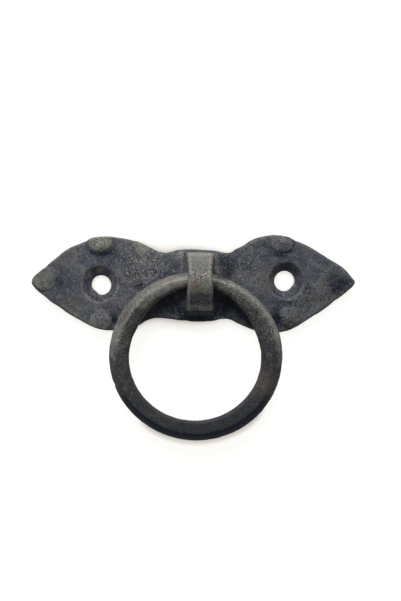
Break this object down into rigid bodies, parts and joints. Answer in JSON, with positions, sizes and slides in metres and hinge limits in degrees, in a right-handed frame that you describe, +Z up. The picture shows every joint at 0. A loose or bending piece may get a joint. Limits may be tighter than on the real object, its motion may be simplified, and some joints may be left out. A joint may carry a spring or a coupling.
{
  "type": "ring pull",
  "caption": "Cast iron ring pull: a double leaf back plate with an arched strap, in which a round ring swings.",
  "frame": {"origin": "midway between the two screw holes, on the flat back face that lies against the door", "axes": "+X to the right along the plate, seen from the front; +Z up as it is fixed, with the ring hanging down; the front faces -Y"},
  "size_m": [0.0806, 0.0096, 0.0499],
  "materials": {
    "plate_iron": "blackened, hammered and lightly rubbed",
    "ring_iron": "blackened, smoother and lightly rubbed"
  },
  "bodies": {
    "plate": {"back_plate": "plate_iron"},
    "pull_ring": {"ring": "ring_iron"}
  },
  "joints": [
    {"name": "ring_swing", "type": "hinge", "parent": "plate", "child": "pull_ring", "pos_m": [0.00185, -0.0053, 0.00025], "axis": [-1, 0, 0], "range_deg": [-2, 180]}
  ]
}
